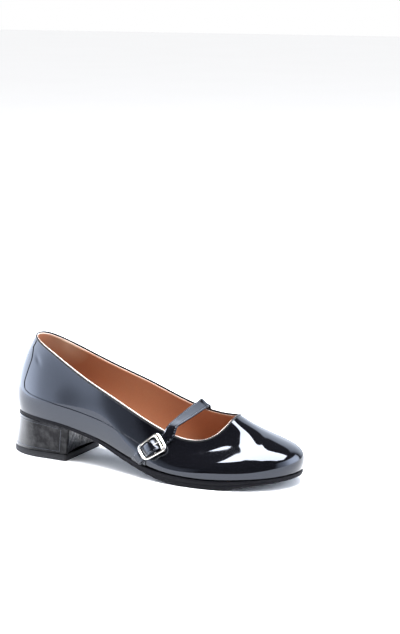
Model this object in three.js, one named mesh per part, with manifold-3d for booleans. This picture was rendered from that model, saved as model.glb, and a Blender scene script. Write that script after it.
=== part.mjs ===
// A right mary jane shoe with a low block heel. Millimetres, +X to the toe, +Y to the inner
// (medial) side, +Z up. The shoe stands on the heel's top piece and the forefoot of the sole.
import * as THREE from "three";
import Module from "manifold-3d";

const wasm = await Module();
wasm.setup();

// ---- Driving dimensions ----

const LAST = { length: 245, ballWidth: 80, backHeight: 94 };
const WALL = 1.7; // upper leather with its lining
const GAP = 0.3; // between pieces that meet
const RIM_CROWN = 0.4; // how far the folded top edge stands up between its two faces
const SOLE_BEVEL = 1.1; // round of the sole's lower edge
const INSOLE = { thick: 2.0, inset: WALL + 0.6 };
const TOP_PIECE = { height: 5, inset: 0.2 };
const STRAP = { width: 9, thick: 1.3, lift: 0.5 };
const ANCHOR = { width: 10, thick: 0.7 };
const FRAME = { wide: 16.6, narrow: 13.8, length: 20.4, bar: 2.1, depth: 1.9, corner: 4.2 };
const BAR_RADIUS = 0.45; // centre bar of the buckle
const PRONG_RADIUS = 0.55;
const ORIGIN = { x: 120.5, y: -1 }; // middle of the shoe's box, under the arch

// Ribs of the last, from the heel round to the toe. Lengths along the shoe (along, topAlong) are
// percent of its length, half-widths (outer, inner side) percent of the ball width, and the
// topline heights percent of the back height. A rib leaves the sole at the flare angle, reaches
// the topline at the roll angle (both in degrees from upright), and low and high are the lengths
// in millimetres over which it keeps those two directions.
const RIBS = [
  ["name", "along", "outer", "inner", "topAlong", "topOuter", "topInner",
    "riseOuter", "riseInner", "flare", "low", "roll", "high"],
  ["heel centre", 1.0, 0, 0, 6.8, 0, 0, 100.6, 100.6, 12, 22, 36, 22],
  ["heel round", 3.6, 22.5, 22.5, 9.6, 16.5, 16.5, 98, 96.4, 12, 20, 26, 20],
  ["seat", 12.2, 34.2, 33.8, 18.4, 26, 26, 88, 85.6, 12, 18, 14, 18],
  ["quarter", 25.2, 35.6, 33.8, 30.2, 32, 32, 73, 72.6, 12, 14, 10, 14],
  ["waist", 38.8, 37.6, 32.6, 42.4, 36, 35.2, 59.4, 61.4, 16, 12, 10, 12],
  ["strap", 52.2, 45.2, 38.8, 54.7, 36, 35.6, 44.2, 50, 20, 10, 16, 12],
  ["ball", 65.3, 50.8, 48.2, 65.6, 31.2, 32, 33.8, 44.6, 20, 10, 30, 12],
  ["toe side", 78.4, 47.8, 49.4, 73, 22.5, 27, 34.6, 45, 14, 15, 42, 19],
  ["toe corner", 89.8, 36, 42, 76.4, 11, 22, 41.8, 46.6, 15, 18, 48, 24],
  ["toe front", 97, 17.5, 26, 77.8, 1.5, 16, 47.8, 48.2, 20, 23, 56, 31],
  ["toe tip", 99.5, -5, 5, 78.1, -8, 8, 49.5, 49.5, 22, 26, 60, 34],
];

// Height of the upper's lower edge above the ground, at percent of the length: seat, arch, ball
// and toe spring.
const BOTTOM_LINE = [
  [-4, 36.7], [0, 36.4], [12, 34.0], [24, 30.4], [36, 23.6], [48, 14.2], [60, 8.2],
  [70, 6.7], [80, 6.9], [90, 8.4], [100, 10.2], [104, 11.0],
];
// The sole's thickness, and how far its edge stands out from the upper, at the same percents.
const SOLE_THICKNESS = [
  [0, 3.0], [36, 3.2], [50, 4.4], [62, 6.0], [70, 6.6], [80, 6.6], [90, 4.2], [100, 3.0],
];
const SOLE_EDGE = [[0, 0.5], [24, 0.6], [40, 1.4], [84, 1.4], [98, 0.4]];

// Outline of the heel at three levels: where its back and breast stand along the shoe, and its
// half-width.
const HEEL_LEVELS = [
  { level: 1, back: 0.8, breast: 60.2, half: 27.2 },
  { level: 0.5, back: -1.6, breast: 58.0, half: 26.3 },
  { level: 0, back: -4.4, breast: 56.4, half: 25.8 },
];
const HEEL_ROUND = 30; // where the round back of the heel meets its straight sides
const HEEL_CORNER = 2;
const BREAST_HOLLOW = 1.6;

// The strap over the instep, from the outer to the inner side: middle of its thickness, and how
// far its front edge falls for each millimetre across it.
const STRAP_ARCH = [
  { x: 150.6, y: -23.5, z: 39.1, lean: 0.12 },
  { x: 150.9, y: -12, z: 41.6, lean: 0.25 },
  { x: 151.2, y: 0, z: 43.5, lean: 0.4 },
  { x: 151.4, y: 12, z: 45.2, lean: 0.55 },
  { x: 151.7, y: 21.5, z: 46.5, lean: 0.7 },
  { x: 152, y: 27.2, z: 47.1, lean: 0.8 },
];
// Where the strap runs on the upper: rib number at the sole edge and at the topline.
const OUTER_RUN = { foot: 4.95, top: 5.6, buckle: 0.545 };
const INNER_RUN = { foot: 15.0, top: 14.35, marks: [0.95, 0.86, 0.72, 0.58, 0.42] };

// Height of the strap's middle over the upper along the buckle (0 is its centre bar, plus is
// towards the instep), and of the anchor strap that wraps the bar.
const STRAP_HEIGHTS = [
  { at: -16, rise: 2.4 }, { at: -12, rise: 2.4 }, { at: -9, rise: 2.25 }, { at: -6, rise: 2.9 },
  { at: -3, rise: 4.2 }, { at: 0, rise: 4.95 }, { at: 3, rise: 3.7 }, { at: 5.4, rise: 1.5 },
  { at: 7.4, rise: 1.1 }, { at: 11, rise: 1.3 }, { at: 15.2, rise: 1.65 },
];
const ANCHOR_PATH = [
  { at: -20.4, rise: 0.75 }, { at: -17, rise: 0.9 }, { at: -12, rise: 0.95 }, { at: -8, rise: 0.8 },
  { at: -4.6, rise: 1.85 },
  { at: -2.2, rise: 3.0 }, { at: 0, rise: 3.45 }, { at: 0.85, rise: 3.1 }, { at: 1.15, rise: 2.3 },
  { at: 0.85, rise: 1.5 }, { at: 0, rise: 1.15 }, { at: -2, rise: 0.8 }, { at: -4.2, rise: 0.75 },
];
const BUCKLE_RISE = 3.2; // middle of the frame over the upper at the centre bar
const BUCKLE_TILT = 0.055; // the narrow end stands higher, over two thicknesses of strap
const BAR_RISE = 2.3;
// Second bar inside the wide end, as [across, along] pairs, and its radius.
const INNER_BAR = [[-7.2, 1.6], [-6.9, 4.2], [-6.0, 6.2], [-4.0, 6.9], [0, 7.0],
  [4.0, 6.9], [6.0, 6.2], [6.9, 4.2], [7.2, 1.6]];
const INNER_BAR_RADIUS = 0.7;
// The prong's wire: room round the centre bar, the turns about it in degrees, and then its run
// to the wide end as [along, rise] pairs.
const PRONG = { room: 0.25, first: -80, last: -270, turn: 38 };
const PRONG_RUN = [[1.6, 4.0], [3.2, 4.5], [5.2, 4.7], [7.4, 4.7], [9.4, 4.6]];
const PRONG_SLOT = { room: 0.4, early: 38 }; // hole in the straps, cut wider and longer

// ---- Curves ----

// Closed smooth curve through rows of numbers: a cubic B-spline whose control rows are worked
// out so that it passes through the given rows.
function loopThrough(rows) {
  const n = rows.length;
  let control = rows;
  for (let pass = 0; pass < 60; pass++) {
    const before = control;
    control = rows.map((row, i) =>
      row.map((v, k) => (6 * v - before[(i + n - 1) % n][k] - before[(i + 1) % n][k]) / 4));
  }
  const blend = (u, weights) => {
    const i = Math.floor(u);
    const w = weights(u - i);
    return rows[0].map((_, k) =>
      w.reduce((sum, wj, j) => sum + wj * control[(((i - 1 + j) % n) + n) % n][k], 0));
  };
  const value = (t) => [
    (1 - t) ** 3 / 6,
    (3 * t ** 3 - 6 * t * t + 4) / 6,
    (-3 * t ** 3 + 3 * t * t + 3 * t + 1) / 6,
    t ** 3 / 6,
  ];
  const slope = (t) => [
    -((1 - t) ** 2) / 2,
    (9 * t * t - 12 * t) / 6,
    (-9 * t * t + 6 * t + 3) / 6,
    (t * t) / 2,
  ];
  return { at: (u) => blend(u, value), slopeAt: (u) => blend(u, slope) };
}

// Smooth height through [place, height] pairs.
function smoothLine(pairs, x) {
  let i = 0;
  while (i < pairs.length - 2 && x > pairs[i + 1][0]) i++;
  x = Math.min(Math.max(x, pairs[0][0]), pairs[pairs.length - 1][0]);
  const chord = (j) => (pairs[j + 1][1] - pairs[j][1]) / (pairs[j + 1][0] - pairs[j][0]);
  const slope = (j) => (j === 0 ? chord(0)
    : j === pairs.length - 1 ? chord(j - 1)
    : (chord(j - 1) + chord(j)) / 2);
  const width = pairs[i + 1][0] - pairs[i][0];
  const t = (x - pairs[i][0]) / width;
  const a = pairs[i][1];
  const b = pairs[i + 1][1];
  return (2 * t ** 3 - 3 * t * t + 1) * a + (3 * t * t - 2 * t ** 3) * b
    + width * ((t ** 3 - 2 * t * t + t) * slope(i) + (t ** 3 - t * t) * slope(i + 1));
}

const { lerp } = THREE.MathUtils;
const percent = (x) => (100 * x) / LAST.length;
const bottomLine = (x) => smoothLine(BOTTOM_LINE, percent(x));
const soleTop = (x) => bottomLine(x) - GAP;
const soleBottom = (x) => Math.max(0, soleTop(x) - smoothLine(SOLE_THICKNESS, percent(x)));
const soleEdge = (x) => smoothLine(SOLE_EDGE, percent(x));

// ---- The last ----

const columns = RIBS[0];
const ribs = RIBS.slice(1).map((row) => Object.fromEntries(row.map((v, k) => [columns[k], v])));
const RIB_COUNT = 2 * (ribs.length - 1);

function ribRow(rib, side) {
  const along = LAST.length / 100;
  const across = (LAST.ballWidth / 100) * (side === "Outer" ? -1 : 1);
  const half = side === "Outer" ? rib.outer : rib.inner;
  return [rib.along * along, half * across, rib.topAlong * along, rib["top" + side] * across,
    (rib["rise" + side] * LAST.backHeight) / 100, rib.flare, rib.low, rib.roll, rib.high];
}
const last = loopThrough([
  ...ribs.map((rib) => ribRow(rib, "Outer")),
  ...ribs.slice(1, -1).reverse().map((rib) => ribRow(rib, "Inner")),
]);

const vector = (x, y, z) => new THREE.Vector3(x, y, z);
const step = (from, direction, distance) => from.clone().addScaledVector(direction, distance);

// Outward direction of a loop, level with the ground, from its slope.
const outward = (dx, dy) => vector(dy, -dx, 0).normalize();

function lean(level, degrees) {
  const angle = THREE.MathUtils.degToRad(degrees);
  return level.clone().multiplyScalar(Math.sin(angle)).setZ(Math.cos(angle));
}

// Point of the upper's outer face on rib u (heel 0, outer side, toe 10, inner side), at v from
// 0 at the sole to 1 at the topline.
function lastPoint(u, v) {
  const [x, y, topX, topY, topZ, flare, low, roll, high] = last.at(u);
  const slope = last.slopeAt(u);
  const foot = vector(x, y, bottomLine(x));
  const top = vector(topX, topY, topZ);
  const leave = lean(outward(slope[0], slope[1]), flare);
  const arrive = lean(outward(slope[2], slope[3]).negate(), roll);
  const rib = new THREE.CubicBezierCurve3(foot, step(foot, leave, low), step(top, arrive, -high), top);
  return rib.getPoint(v);
}

function lastNormal(u, v) {
  const e = 0.01;
  const around = lastPoint(u + e, v).sub(lastPoint(u - e, v));
  const up = lastPoint(u, Math.min(1, v + e)).sub(lastPoint(u, Math.max(0, v - e)));
  return around.cross(up).normalize();
}

// Outline of the last's lower edge, moved out by a distance and at a height that both depend on
// the place along.
function soleOutline(count, out, height) {
  return Array.from({ length: count }, (_, i) => {
    const u = (i * RIB_COUNT) / count;
    const [x, y] = last.at(u);
    const slope = last.slopeAt(u);
    const p = step(vector(x, y, 0), outward(slope[0], slope[1]), out(x));
    return p.setZ(height(p.x));
  });
}

// ---- Solids from rings of points ----

// Skins a row of rings. A closed row joins its last ring to its first, and an open one is capped
// by strips between the two sides of its end rings.
function skin(rings, closed) {
  const n = rings[0].length;
  const triangles = [];
  const quad = (a, b, c, d) => {
    triangles.push([a, b, c], [a, c, d]);
  };
  const steps = closed ? rings.length : rings.length - 1;
  for (let i = 0; i < steps; i++) {
    const here = i * n;
    const next = ((i + 1) % rings.length) * n;
    for (let k = 0; k < n; k++) quad(here + k, next + k, next + ((k + 1) % n), here + ((k + 1) % n));
  }
  if (!closed) {
    const end = (rings.length - 1) * n;
    for (let k = 0; k < n / 2; k++) {
      const [a, b, c, d] = [k, k + 1, n - k - 1, (n - k) % n];
      quad(a, b, c, d);
      quad(end + d, end + c, end + b, end + a);
    }
  }
  const kept = triangles.filter(([a, b, c]) => a !== b && b !== c && c !== a);
  const points = rings.flat();
  const volume = kept.reduce((sum, [a, b, c]) =>
    sum + points[a].dot(points[b].clone().cross(points[c])), 0);
  const facing = volume < 0 ? kept.map(([a, b, c]) => [a, c, b]) : kept;
  const geometry = new THREE.BufferGeometry();
  geometry.setFromPoints(points);
  geometry.setIndex(facing.flat());
  geometry.computeVertexNormals();
  return geometry;
}

function toSolid(geometry) {
  return new wasm.Manifold(new wasm.Mesh({
    numProp: 3,
    vertProperties: new Float32Array(geometry.getAttribute("position").array),
    triVerts: new Uint32Array(geometry.getIndex().array),
  }));
}

function toGeometry(solid) {
  const mesh = solid.getMesh();
  const geometry = new THREE.BufferGeometry();
  geometry.setAttribute("position", new THREE.BufferAttribute(mesh.vertProperties, 3));
  geometry.setIndex(new THREE.BufferAttribute(mesh.triVerts, 1));
  geometry.computeVertexNormals();
  return geometry;
}

// Flat strap section: a rectangle with round ends, as pairs across and through the strap.
function strapSection(width, thick, roundness = 4) {
  const half = width / 2 - thick / 2;
  const points = [];
  for (const side of [1, -1]) {
    for (let k = 0; k <= roundness; k++) {
      const angle = side * (Math.PI / 2) - (Math.PI * k) / roundness;
      points.push([side * half + Math.cos(angle) * (thick / 2), Math.sin(angle) * (thick / 2)]);
    }
  }
  return points;
}

// ---- Upper, soles and heel ----

function upper(around = 92, rows = 12) {
  const rings = [];
  for (let i = 0; i < around; i++) {
    const u = (i * RIB_COUNT) / around;
    const outside = [];
    const inside = [];
    for (let k = 0; k <= rows; k++) {
      const p = lastPoint(u, k / rows);
      outside.push(p);
      inside.unshift(step(p, lastNormal(u, k / rows), -WALL));
    }
    const up = outside[rows].clone().sub(outside[rows - 1]).normalize();
    const crown = step(outside[rows].clone().lerp(inside[0], 0.5), up, RIM_CROWN);
    rings.push([...outside, crown, ...inside]);
  }
  return skin(rings, true);
}

function outsole(count = 92) {
  return skin([
    soleOutline(count, (x) => soleEdge(x) - SOLE_BEVEL / 3, soleTop),
    soleOutline(count, soleEdge, (x) => soleTop(x) - SOLE_BEVEL / 2),
    soleOutline(count, (x) => soleEdge(x) - SOLE_BEVEL / 3, (x) => soleBottom(x) + SOLE_BEVEL),
    soleOutline(count, (x) => soleEdge(x) - SOLE_BEVEL, soleBottom),
  ], false);
}

function insole(count = 80) {
  const { inset, thick } = INSOLE;
  return skin([
    soleOutline(count, () => -inset, bottomLine),
    soleOutline(count, () => -inset, (x) => bottomLine(x) + thick * 0.7),
    soleOutline(count, () => -inset - 0.6, (x) => bottomLine(x) + thick),
  ], false);
}

// One ring of the heel: round back, straight sides, rounded corners and a hollow breast.
function heelRing({ back, breast, half }, height) {
  const side = [];
  const arcSteps = 14;
  for (let k = 0; k <= arcSteps; k++) {
    const angle = (Math.PI / 2) * (k / arcSteps);
    side.push([HEEL_ROUND - (HEEL_ROUND - back) * Math.cos(angle), half * Math.sin(angle)]);
  }
  side.push([(HEEL_ROUND + breast) / 2, half]);
  const cornerSteps = 4;
  for (let k = 0; k <= cornerSteps; k++) {
    const angle = (Math.PI / 2) * (k / cornerSteps);
    side.push([breast - HEEL_CORNER * (1 - Math.sin(angle)), half - HEEL_CORNER * (1 - Math.cos(angle))]);
  }
  for (const y of [0.66, 0.33, 0]) {
    side.push([breast - BREAST_HOLLOW * (1 - y * y), half * y]);
  }
  const other = side.slice(1, -1).reverse().map(([x, y]) => [x, -y]);
  return [...side, ...other].map(([x, y]) => vector(x, y, height(x)));
}

function heelLevel(level) {
  const upperPart = level >= HEEL_LEVELS[1].level;
  const [low, high] = upperPart ? [HEEL_LEVELS[1], HEEL_LEVELS[0]] : [HEEL_LEVELS[2], HEEL_LEVELS[1]];
  const t = (level - low.level) / (high.level - low.level);
  const mix = (name) => lerp(low[name], high[name], t);
  return { back: mix("back"), breast: mix("breast"), half: mix("half") };
}

function heelBlock(levels = 6) {
  const floor = TOP_PIECE.height + GAP;
  return skin(Array.from({ length: levels + 1 }, (_, i) => {
    const level = i / levels;
    return heelRing(heelLevel(level), (x) => lerp(floor, soleBottom(x) - GAP, level));
  }), false);
}

function heelTopPiece() {
  const foot = HEEL_LEVELS[2];
  const ring = (inset, z) => heelRing(
    { back: foot.back + inset, breast: foot.breast - inset, half: foot.half - inset }, () => z);
  const { height, inset } = TOP_PIECE;
  return skin([ring(inset + 0.5, 0), ring(inset, 0.5), ring(inset, height)], false);
}

// ---- Strap, buckle and anchor ----

// Frame of reference on the upper's outer face: place, outward normal, strap direction and
// across direction.
function surfaceFrame(run, v) {
  const u = run.foot + (run.top - run.foot) * v;
  const e = 0.01;
  const uAhead = run.foot + (run.top - run.foot) * (v + e);
  const place = lastPoint(u, v);
  const normal = lastNormal(u, v);
  const along = lastPoint(uAhead, v + e).sub(place).normalize();
  const across = along.clone().cross(normal).normalize();
  return { place, normal, along, across };
}

// Distances along the outer run, measured from the buckle's centre bar.
const RUN_STEPS = 100;
const runTable = [{ v: 0, at: 0 }];
for (let k = 1; k <= RUN_STEPS; k++) {
  const v = k / RUN_STEPS;
  const before = surfaceFrame(OUTER_RUN, v - 1 / RUN_STEPS).place;
  const here = surfaceFrame(OUTER_RUN, v).place;
  runTable.push({ v, at: runTable[k - 1].at + here.distanceTo(before) });
}
const distanceAt = (v) => runTable[Math.round(v * RUN_STEPS)].at;
const buckleAt = distanceAt(OUTER_RUN.buckle);
function outerFrameAt(at) {
  const want = at + buckleAt;
  if (want < 0) {
    const foot = surfaceFrame(OUTER_RUN, 0);
    return { ...foot, place: step(foot.place, foot.along, want) };
  }
  const i = runTable.findIndex((row) => row.at > want);
  const [a, b] = [runTable[i - 1], runTable[i]];
  return surfaceFrame(OUTER_RUN, a.v + ((b.v - a.v) * (want - a.at)) / (b.at - a.at));
}
const buckleFrame = outerFrameAt(0);

// Sweeps a strap section along stations, each with a place, a normal and an across direction.
function strapSolid(stations, section) {
  return skin(stations.map(({ place, normal, across }) =>
    section.map(([a, h]) => step(step(place, across, a), normal, h))), false);
}

// Stations along a smooth curve through given places; the across directions are carried along.
function stationsThrough(marks, count) {
  const curve = new THREE.CatmullRomCurve3(marks.map((m) => m.place), false, "centripetal");
  curve.arcLengthDivisions = 800;
  const lengths = [0];
  for (let i = 1; i < marks.length; i++) {
    lengths.push(lengths[i - 1] + marks[i].place.distanceTo(marks[i - 1].place));
  }
  const total = lengths[lengths.length - 1];
  return Array.from({ length: count + 1 }, (_, k) => {
    const t = k / count;
    const place = curve.getPointAt(t);
    const tangent = curve.getTangentAt(t);
    let i = 0;
    while (i < marks.length - 2 && lengths[i + 1] < t * total) i++;
    const share = (t * total - lengths[i]) / (lengths[i + 1] - lengths[i]);
    const across = marks[i].across.clone().lerp(marks[i + 1].across, share);
    across.addScaledVector(tangent, -across.dot(tangent)).normalize();
    return { place, across, normal: across.clone().cross(tangent).normalize() };
  });
}

function onOuterRun({ at, rise }) {
  const { place, normal, across } = outerFrameAt(at);
  return { place: step(place, normal, rise), across };
}

function strapMarks() {
  const buckled = STRAP_HEIGHTS.map(onOuterRun);
  const rise = STRAP.lift + STRAP.thick / 2;
  const inner = INNER_RUN.marks.map((v) => {
    const { place, normal, across } = surfaceFrame(INNER_RUN, v);
    return { place: step(place, normal, rise), across: across.negate() };
  });
  const arch = STRAP_ARCH.map(({ x, y, z, lean: fall }) => ({
    place: vector(x, y, z),
    across: vector(1, 0, -fall),
  }));
  return [...buckled, ...arch, ...inner];
}

// Round bar along points that lie in one plane; flat is that plane's normal.
function bar(points, flat, radius, depth, closed, sides = 8) {
  const n = points.length;
  const rings = points.map((p, i) => {
    const before = points[closed ? (i + n - 1) % n : Math.max(0, i - 1)];
    const after = points[closed ? (i + 1) % n : Math.min(n - 1, i + 1)];
    const side = after.clone().sub(before).normalize().cross(flat).normalize();
    return Array.from({ length: sides }, (_, k) => {
      const angle = (2 * Math.PI * k) / sides;
      return step(step(p, side, radius * Math.cos(angle)), flat, depth * Math.sin(angle));
    });
  });
  return toSolid(skin(rings, closed));
}

const prongSlot = () => prong(PRONG_RADIUS + PRONG_SLOT.room, PRONG_SLOT.early);

// Place in the buckle's own plane: across, towards the instep, and out from the shoe.
function onBuckle(a, along, rise) {
  const { place, normal, across, along: up } = buckleFrame;
  return step(step(step(place, across, a), up, along), normal, rise);
}
const frameRise = (along) => BUCKLE_RISE - BUCKLE_TILT * along;

// Trapezoid with rounded corners, as [across, along] pairs.
function roundedTrapezoid(halfWide, halfNarrow, halfLength, corner, steps = 5) {
  const corners = [[halfWide, halfLength], [-halfWide, halfLength],
    [-halfNarrow, -halfLength], [halfNarrow, -halfLength]].map(([a, b]) => new THREE.Vector2(a, b));
  return corners.flatMap((c, i) => {
    const before = corners[(i + 3) % 4].clone().sub(c).normalize().multiplyScalar(corner);
    const after = corners[(i + 1) % 4].clone().sub(c).normalize().multiplyScalar(corner);
    const curve = new THREE.QuadraticBezierCurve(c.clone().add(before), c, c.clone().add(after));
    return curve.getPoints(steps).map((p) => [p.x, p.y]);
  });
}

function buckle() {
  const { wide, narrow, length, bar: thick, depth, corner } = FRAME;
  const inset = thick / 2;
  const flat = buckleFrame.normal;
  const outline = roundedTrapezoid(wide / 2 - inset, narrow / 2 - inset, length / 2 - inset, corner);
  const ring = bar(outline.map(([a, b]) => onBuckle(a, b, frameRise(b))), flat, inset, depth / 2, true);
  const second = bar(INNER_BAR.map(([a, b]) => onBuckle(a, b, frameRise(b))), flat,
    INNER_BAR_RADIUS, INNER_BAR_RADIUS, false);
  const reach = (wide + narrow) / 4 - inset;
  const centre = bar([onBuckle(-reach, 0, BAR_RISE), onBuckle(reach, 0, BAR_RISE)],
    flat, BAR_RADIUS, BAR_RADIUS, false);
  return ring.add(second).add(centre);
}

// The prong turns round the centre bar, comes up through the strap and lies on the wide end.
function prong(radius, early = 0) {
  const wrap = BAR_RADIUS + PRONG.room + PRONG_RADIUS;
  const path = [];
  for (let degrees = PRONG.first + early; degrees >= PRONG.last; degrees -= PRONG.turn) {
    const angle = THREE.MathUtils.degToRad(degrees);
    path.push([wrap * Math.cos(angle), BAR_RISE + wrap * Math.sin(angle)]);
  }
  path.push(...PRONG_RUN);
  return bar(path.map(([b, rise]) => onBuckle(0, b, rise)), buckleFrame.across, radius, radius, false);
}

function strap() {
  const whole = toSolid(strapSolid(stationsThrough(strapMarks(), 84),
    strapSection(STRAP.width, STRAP.thick)));
  return toGeometry(whole.subtract(prongSlot()));
}

// The anchor strap is trimmed to the sole's edge at its foot.
function anchorStrap() {
  const whole = toSolid(strapSolid(stationsThrough(ANCHOR_PATH.map(onOuterRun), 60),
    strapSection(ANCHOR.width, ANCHOR.thick, 2)));
  const sole = toSolid(outsole()).translate([0, 0, 1.4 * GAP]);
  return toGeometry(whole.subtract(sole).subtract(prongSlot()));
}

// ---- Assembly ----

function material(color, roughness, metalness) {
  return new THREE.MeshStandardMaterial({ color, roughness, metalness });
}
const patent = material("#101116", 0.08, 0);
const tanLeather = material("#a4603c", 0.6, 0);
const soleLeather = material("#1b1b1e", 0.5, 0);
const rubber = material("#2a2a2d", 0.8, 0);
const paleMetal = material("#e6ddd0", 0.2, 1);

const shoe = new THREE.Group();
function add(name, geometry, finish) {
  const mesh = new THREE.Mesh(geometry, finish);
  mesh.name = name;
  shoe.add(mesh);
}
add("upper", upper(), patent);
add("outsole", outsole(), soleLeather);
add("insole", insole(), tanLeather);
add("heel_block", heelBlock(), patent);
add("heel_top_piece", heelTopPiece(), rubber);
add("strap", strap(), patent);
add("anchor_strap", anchorStrap(), patent);
add("buckle_frame", toGeometry(buckle()), paleMetal);
add("buckle_prong", toGeometry(prong(PRONG_RADIUS)), paleMetal);
shoe.position.set(-ORIGIN.x, -ORIGIN.y, 0);

export default shoe;
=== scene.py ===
# %% [markdown]
# # A right mary jane shoe in black patent leather
# The shoe is made round one shape, the last: the wooden foot that a shoemaker pulls the leather
# over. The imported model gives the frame. Its solids have the right size and place, and each
# piece here is a finer one that stands where its solid stands.

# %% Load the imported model
import math

import bmesh
import bpy
import numpy as np
from mathutils import Matrix, Vector


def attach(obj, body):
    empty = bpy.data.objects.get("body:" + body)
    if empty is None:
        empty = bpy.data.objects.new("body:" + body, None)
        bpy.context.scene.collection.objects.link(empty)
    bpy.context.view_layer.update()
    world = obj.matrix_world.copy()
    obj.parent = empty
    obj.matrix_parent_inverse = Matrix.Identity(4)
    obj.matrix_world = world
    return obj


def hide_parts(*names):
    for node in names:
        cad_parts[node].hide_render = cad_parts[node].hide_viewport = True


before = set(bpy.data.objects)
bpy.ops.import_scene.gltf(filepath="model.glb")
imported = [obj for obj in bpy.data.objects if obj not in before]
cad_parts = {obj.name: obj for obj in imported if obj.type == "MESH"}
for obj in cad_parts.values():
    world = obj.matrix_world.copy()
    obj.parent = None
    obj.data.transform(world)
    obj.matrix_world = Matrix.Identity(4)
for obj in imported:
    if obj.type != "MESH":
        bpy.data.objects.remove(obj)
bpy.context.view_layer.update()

print("nodes:", sorted(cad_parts))

# %% [markdown]
# ## Working in the shoemaker's millimetres
# Shoe sizes are easiest to read in millimetres from the back of the heel, so the shapes are
# worked out there. +X runs to the toe, +Y to the inner side of the foot and +Z up. One matrix
# takes a finished mesh to the frame, whose origin lies on the ground under the arch.

# %% Units and the frame's origin
UNDER_ARCH = Vector((120.5, -1, 0))
TO_FRAME = Matrix.Scale(0.001, 4) @ Matrix.Translation(-UNDER_ARCH)
MERGE = 0.002  # vertices nearer than this are one

LENGTH = 245
BALL_WIDTH = 80
BACK_HEIGHT = 94
WALL = 1.7
GAP = 0.3
print("heel to origin:", round(UNDER_ARCH.x, 1), "mm")

# %% [markdown]
# ## Shader maths in plain expressions
# A procedural finish is a graph of small Math nodes, which is hard to read when it is built
# node by node. This class wraps one socket, so that `grain * 0.2 + 0.1` adds the nodes itself.

# %% A socket with operators
class Wire:
    """One output socket of a node tree, with arithmetic that adds Math nodes."""

    def __init__(self, tree, socket):
        self.tree = tree
        self.socket = socket

    def math(self, operation, *values, clamp=False):
        settings = {"operation": operation, "use_clamp": clamp}
        return self.tree.node("ShaderNodeMath", settings, *values)

    def __add__(self, other):
        return self.math("ADD", self, other)

    def __mul__(self, other):
        return self.math("MULTIPLY", self, other)

    def __sub__(self, other):
        return self.math("SUBTRACT", self, other)

    def __rsub__(self, other):
        return self.math("SUBTRACT", other, self)

    def __truediv__(self, other):
        return self.math("DIVIDE", self, other)

    __radd__ = __add__
    __rmul__ = __mul__

    def clamped(self):
        return self.math("ADD", self, 0, clamp=True)


class Finish:
    """A material under construction: its node tree and its Principled shader."""

    def __init__(self, name, **constants):
        self.material = bpy.data.materials.new(name)
        self.material.use_nodes = True
        self.nodes = self.material.node_tree.nodes
        self.links = self.material.node_tree.links
        self.shader = self.nodes["Principled BSDF"]
        for socket, value in constants.items():
            self.shader.inputs[socket.replace("_", " ")].default_value = value
        self.place = self.node("ShaderNodeTexCoord", {}, output="Object")

    def node(self, kind, settings, *values, output=0, **named):
        made = self.nodes.new(kind)
        for key, value in settings.items():
            setattr(made, key, value)
        inputs = [*enumerate(values), *((k.replace("_", " "), v) for k, v in named.items())]
        for socket, value in inputs:
            if isinstance(value, Wire):
                self.links.new(value.socket, made.inputs[socket])
            else:
                made.inputs[socket].default_value = value
        return Wire(self, made.outputs[output])

    def noise(self, scale, detail=2.0, roughness=0.5):
        return self.node("ShaderNodeTexNoise", {}, Vector=self.place, Scale=scale,
                         Detail=detail, Roughness=roughness)

    def blend(self, factor, first, second):
        mix = self.nodes.new("ShaderNodeMix")
        mix.data_type = "RGBA"
        for socket, value in ((0, factor), (6, first), (7, second)):
            if isinstance(value, Wire):
                self.links.new(value.socket, mix.inputs[socket])
            else:
                mix.inputs[socket].default_value = value
        return Wire(self, mix.outputs[2])

    def bump(self, height, distance, strength=1.0, over=None):
        below = {} if over is None else {"Normal": over}
        return self.node("ShaderNodeBump", {}, Height=height, Distance=distance,
                         Strength=strength, **below)

    def near(self, centre, radius):
        """1 at a point of the piece, falling to 0 at a radius from it."""
        offset = self.node("ShaderNodeVectorMath", {"operation": "SUBTRACT"}, self.place, centre)
        far = self.node("ShaderNodeVectorMath", {"operation": "LENGTH"}, offset, output="Value")
        return (1 - far / radius).clamped()

    def feed(self, **wires):
        for socket, wire in wires.items():
            self.links.new(wire.socket, self.shader.inputs[socket.replace("_", " ")])
        return self.material


FINISHES = {}
print("shader helpers ready")

# %% [markdown]
# ## Patent leather
# Patent is leather under a thick clear film. The eye reads it as black because the film throws
# back only a twentieth of the light, and it throws that back like a mirror. So the colour is
# nearly black, the roughness is very low and the interest is in the relief: the film is laid
# over a skin, so it waves a little, and dust and handling dull it in faint clouds.

# %% Patent leather and its glossy folds
def patent_leather(name, wave, grain):
    finish = Finish(name, IOR=1.5, Specular_Tint=(0.80, 0.86, 1.0, 1))
    cloud = finish.noise(42, 3.0)
    colour = finish.blend(cloud, (0.0014, 0.0014, 0.0022, 1), (0.0024, 0.0025, 0.0036, 1))
    smears = finish.noise(130, 4.0, 0.6)
    rolling = finish.bump(finish.noise(30, 1.0), wave)
    skin = finish.bump(finish.noise(1500, 2.0), grain, over=rolling)
    return finish.feed(Base_Color=colour, Roughness=smears * 0.05 + 0.02, Normal=skin)


FINISHES["patent"] = patent_leather("patent_leather", 0.00009, 0.0000012)
FINISHES["strap patent"] = patent_leather("strap_patent_leather", 0.00008, 0.000002)
print("patent finishes:", [m.name for m in FINISHES.values()])
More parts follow.
